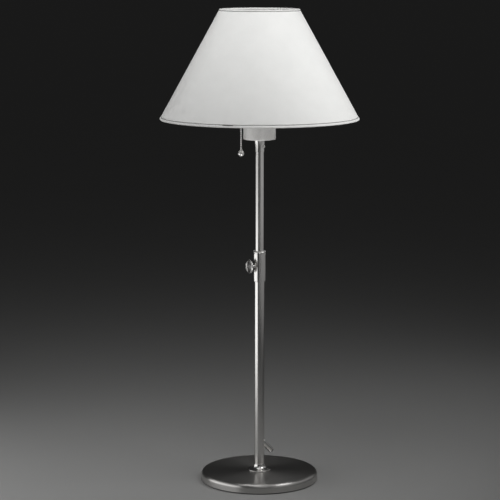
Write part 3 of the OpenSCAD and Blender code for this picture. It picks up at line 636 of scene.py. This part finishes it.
def add_cover():
    """The shade's cover: a stiff laminated cloth rolled into a cone, its ends lapped and glued
    at the back."""
    rows = [(up * MM, out * MM) for up, out in COVER_FOOT]
    first, last = rows[-1][0], SLANT - COVER_HEAD[0][0] * MM
    rows += [(first + (last - first) * i / COVER_ROWS, 0.0) for i in range(1, COVER_ROWS)]
    rows += [(SLANT - down * MM, out * MM) for down, out in COVER_HEAD]
    # The columns near the seam: the distance along the cloth from it, and how much of the lap's
    # step the outside and the inside take there
    cut = 0.12 * MM
    lap = [(-SEAM_HALF - cut, 0.0, -1.0), (-SEAM_HALF + cut, 1.0, -1.0), (0.0, 1.0, -1.0),
           (SEAM_HALF - cut, 0.9, -1.0), (SEAM_HALF + cut, 0.8, 0.0),
           (2 * SEAM_HALF, 0.25, 0.0), (3 * SEAM_HALF, 0.0, 0.0)]
    rest = COVER_STEPS - len(lap)

    def angle_at(column, radius):
        """The angle from the seam: near it a column keeps its distance, not its angle."""
        turns, column = divmod(column, COVER_STEPS)
        if column < len(lap):
            from_seam = lap[column][0] / radius
        else:
            share = (column - len(lap) + 1) / (rest + 1)
            begin, end = lap[-1][0] / radius, TURN + lap[0][0] / radius
            from_seam = begin + (end - begin) * share
        return from_seam + turns * TURN

    def section(column):
        outside, inside = [], []
        step_out, step_in = lap[column][1:] if column < len(lap) else (0.0, 0.0)
        for up, out in rows:
            radius = on_wall(up, 0)[0]
            angle = angle_at(column, radius)
            wave = unevenness(angle, up)
            outer = on_wall(up, out + wave + step_out * SEAM_STEP)
            inner = on_wall(up, wave - BOARD + step_in * SEAM_STEP)
            outside.append((SEAM + angle, *outer))
            inside.append((SEAM + angle, *inner))
        return outside + inside[::-1]

    count = 2 * len(rows)

    def uv_of(column, row):
        up = rows[min(row, count - 1 - row)][0]
        radius = on_wall(up, 0)[0]
        flat_angle = (angle_at(column, radius) - TURN / 2) * CONE
        return (radius / CONE * math.sin(flat_angle), radius / CONE * math.cos(flat_angle))

    cover = swept("shade_cover", section, COVER_STEPS, SHADE, uv_of)
    cover.data.materials.append(LINING)
    for face in cover.data.polygons:
        outward = Vector((face.center.x, face.center.y, 0)).normalized()
        if face.normal.dot(outward) < INWARD:
            face.material_index = 1
    return stand_for(cover, "mast", "shade_fabric", "shade_panel")


# The hems' skins in mm, as (distance along the wall from its end, distance out of it): from
# inside, round the wire and the wall's end, to the outside
FOOT_HEM = [(12.5, -1.55), (10.6, -1.65), (9.2, -2.0), (8.2, -2.9), (7.0, -4.0), (5.6, -4.55),
            (4.0, -4.6), (2.2, -4.2), (0.6, -3.4), (-0.6, -2.4), (-1.15, -1.4), (-1.1, -0.5),
            (-0.6, 0.25), (0.4, 0.66), (1.6, 0.86), (2.8, 0.84), (3.7, 0.6), (4.25, 0.2),
            (4.5, -0.35), (4.75, -0.8), (5.2, -1.02), (6.2, -1.05), (7.6, -1.06)]
HEAD_HEM = [(10.0, -1.55), (8.0, -1.65), (6.4, -2.2), (5.2, -3.2), (4.0, -4.15), (2.6, -4.55),
            (1.1, -4.5), (-0.1, -3.9), (-0.75, -2.9), (-0.95, -1.8), (-0.8, -0.8), (-0.3, 0.0),
            (0.4, 0.42), (1.2, 0.56), (1.9, 0.48), (2.5, 0.2), (2.8, -0.3), (3.05, -0.8),
            (3.5, -1.02), (4.3, -1.05), (5.8, -1.06)]
PATH_PARTS = 3
TAPE_T = 0.4 * MM
HEM_STEPS = 288
# Where each tape's ends meet, as an angle round from +X
FOOT_JOINT = math.radians(-109)
HEAD_JOINT = math.radians(68)
# The outer end of a tape rises over the inner one and pulls the fold flatter to either side
LAP_RISE, LAP_LENGTH = 0.35 * MM, 9 * MM
PULL, PULL_REACH = 0.55 * MM, 16 * MM
# The pull and the tape's waves reach their full size this far from the wall's end
FULL_SIZE = 6 * MM
# The tongue is what lies below this depth in the groove beside the tape's outer edge
TONGUE = -0.25 * MM
# The darker painted shade at the joint: how far it goes to either side of the joint, and where it
# starts up the wall
JOINT_SHADE_ANGLE = math.radians(3)
JOINT_SHADE_START = 2.6 * MM


def smooth_path(points):
    """Points of a smooth curve through the given ones, PATH_PARTS to each stretch."""
    out = []
    for i in range(len(points) - 1):
        a, b = points[max(i - 1, 0)], points[i]
        c, d = points[i + 1], points[min(i + 2, len(points) - 1)]
        for k in range(PATH_PARTS):
            t = k / PATH_PARTS
            out.append(tuple(0.5 * (2 * q + (r - p) * t + (2 * p - 5 * q + 4 * r - s) * t * t
                                    + (3 * q - p - 3 * r + s) * t ** 3)
                             for p, q, r, s in zip(a, b, c, d)))
    return out + [points[-1]]


def past_joint(angle, joint):
    """The angle from a joint, between half a turn either way."""
    return (angle - joint + math.pi) % TURN - math.pi


def add_hem(name, skin, at_foot, joint, node):
    """The tape folded round a wire ring and the cover's end, lapped where its ends meet."""
    path = [(up * MM, out * MM) for up, out in smooth_path(skin)]
    if not at_foot:
        path = [(SLANT - down, out) for down, out in path]
    outline = wall_of([on_wall(*point) for point in path], TAPE_T if at_foot else -TAPE_T)
    count, lengths = len(outline), [0.0]
    for a, b in zip(outline, outline[1:]):
        lengths.append(lengths[-1] + math.dist(a, b))
    radius = outline[0][0]
    end_z, inward = (SHADE_LOW, 1) if at_foot else (SHADE_TOP, -1)

    def section(column):
        angle = TURN * column / HEM_STEPS
        along = past_joint(angle, joint) * radius
        lap = LAP_RISE * max(0.0, 1 - abs(along / LAP_LENGTH)) if along < 0 else 0.0
        pull = PULL * math.exp(-(along / PULL_REACH) ** 2)
        wave = (0.06 * math.sin(23 * angle + 1.0) + 0.05 * math.sin(41 * angle + 3.0)) * MM
        points = []
        for r, z in outline:
            share = max(0.0, min(1.0, (z - end_z) * inward / FULL_SIZE))
            out = lap + wave * share
            drop = -pull * share * inward
            points.append((angle, r + OFF_WALL.x * out + UP_WALL.x * drop,
                           z + OFF_WALL.y * out + UP_WALL.y * drop))
        return points

    def uv_of(column, row):
        return (TURN * column / HEM_STEPS * radius, lengths[row])

    hem = swept(name, section, HEM_STEPS, TAPE, uv_of, SHARP_BAR)
    # Painted shade: the tongue is greyed where shade falls in the groove; at the foot, close to
    # where the tape's ends meet, a darker grey covers the groove and the top of the roll
    hem.data.materials.append(GROOVE_SHADE)
    hem.data.materials.append(JOINT_SHADE)
    outer_end = range(len(path) * 2 // 3, len(path))
    tongue = {k for k in outer_end if path[k][1] < TONGUE}
    joint_shade_rows = {k for k in outer_end if at_foot and path[k][0] > JOINT_SHADE_START}
    for face in hem.data.polygons:
        angle = TURN * min(v // count for v in face.vertices) / HEM_STEPS
        rows = {v % count for v in face.vertices}
        if abs(past_joint(angle, joint)) < JOINT_SHADE_ANGLE and rows <= joint_shade_rows:
            face.material_index = 2
        elif rows <= tongue:
            face.material_index = 1
    return stand_for(hem, "mast", "binding_tape", node)


def add_shade():
    """The cover and its two hems."""
    cover = add_cover()
    foot = add_hem("foot_hem", FOOT_HEM, True, FOOT_JOINT, "bottom_binding")
    head = add_hem("head_hem", HEAD_HEM, False, HEAD_JOINT, "top_binding")


add_base()
add_flange()
add_outlet_weld()
add_collar_ring()
add_knob()
add_harp()
add_spider_welds()
add_shade()


# ---------------------------------------------------------------- camera, floor and light

# The camera: how far it looks down, where it stands, and its focal length in pixels of the image
VIEW_PITCH = math.radians(8.87)
VIEW_DISTANCE = 4.904
VIEW_HEIGHT = 1.3656
VIEW_SHIFT = -0.0240
VIEW_FOCAL = 1950.0
IMAGE_WIDTH = 500.0
SENSOR = 36.0
FAR_CLIP = 200
# Half the side of the floor, and the strength of the faint light from all round
FLOOR_HALF = 60
WORLD_STRENGTH = 0.02


def add_camera():
    data = bpy.data.cameras.new("camera")
    data.sensor_width = SENSOR
    data.lens = VIEW_FOCAL / IMAGE_WIDTH * SENSOR
    data.clip_end = FAR_CLIP
    camera = bpy.data.objects.new("camera", data)
    camera.location = (VIEW_SHIFT, -VIEW_DISTANCE, VIEW_HEIGHT)
    camera.rotation_euler = (math.pi / 2 - VIEW_PITCH, 0, 0)
    scene.collection.objects.link(camera)
    scene.camera = camera


def add_floor():
    """A plain painted floor, too wide for its end to show."""
    h = FLOOR_HALF
    floor = finished("floor", [(-h, -h, 0), (h, -h, 0), (h, h, 0), (-h, h, 0)], [(0, 1, 2, 3)])
    m = Shader("floor_paint", (0.44, 0.44, 0.435), Roughness=0.8)
    m.shades(m.grain(1.5, 3.0, 0.5), 0.01)
    floor.data.materials.append(m.material)


def add_light(name, place, target, width, height, radiance, spread=180):
    """A softbox of even brightness, with a grid in front of it when its spread is under 180
    degrees."""
    data = bpy.data.lights.new(name, "AREA")
    data.shape = "RECTANGLE"
    data.size, data.size_y = width, height
    # The renderer keeps a light's power when its spread narrows, so this keeps its brightness
    cut = math.pi / 2 - math.radians(spread) / 2
    gathered = 2 / (2 + (2 * cut - math.pi) * math.tan(cut))
    data.energy = radiance * math.pi * width * height / gathered
    data.spread = math.radians(spread)
    light = bpy.data.objects.new(name, data)
    light.location = place
    aim = Vector(target) - Vector(place)
    light.rotation_euler = aim.to_track_quat("-Z", "Y").to_euler()
    light.visible_camera = False
    scene.collection.objects.link(light)


def add_card(name, turn, distance, height, width, tall, radiance):
    """An upright softbox that faces the column, so many degrees round to the camera's right."""
    a = math.radians(turn)
    place = (distance * math.sin(a), -distance * math.cos(a), height)
    add_light(name, place, (0, 0, height), width, tall, radiance)


def add_world():
    world = bpy.data.worlds.new("studio")
    world.use_nodes = True
    background = world.node_tree.nodes["Background"]
    background.inputs["Color"].default_value = (1.0, 1.0, 1.0, 1)
    background.inputs["Strength"].default_value = WORLD_STRENGTH
    scene.world = world


add_camera()
add_floor()
scene.view_settings.view_transform = "Standard"
add_world()
# Cards: name, turn, distance, height, width, tall, radiance
add_card("left_box", -74, 1.18, 0.475, 1.72, 0.95, 0.72)
add_card("left_low_box", -74, 1.14, 0.26, 1.60, 0.52, 0.75)
add_card("right_card", 83, 0.93, 0.595, 2.9, 0.77, 0.20)
add_card("right_high_card", 83, 0.90, 0.74, 2.7, 0.48, 0.14)
# Softboxes: name, place, target, width, height, radiance, spread
add_light("top_box", (-0.20, -0.32, 1.50), (0, 0, 1.02), 0.77, 0.62, 2.3, 140)
add_light("right_box", (0.77, -0.28, 1.36), (0, 0, 1.02), 0.74, 0.61, 4.4, 140)
add_light("front_box", (0.10, -1.25, 1.45), (0, 0, 0.50), 0.9, 1.4, 0.45, 140)
add_light("back_box", (0.25, 1.70, 1.30), (0, 0, 1.05), 1.2, 0.7, 1.5, 50)
add_light("low_box", (0.10, -0.48, 0.32), (0, 0, 0.90), 0.34, 0.3, 8.0, 60)
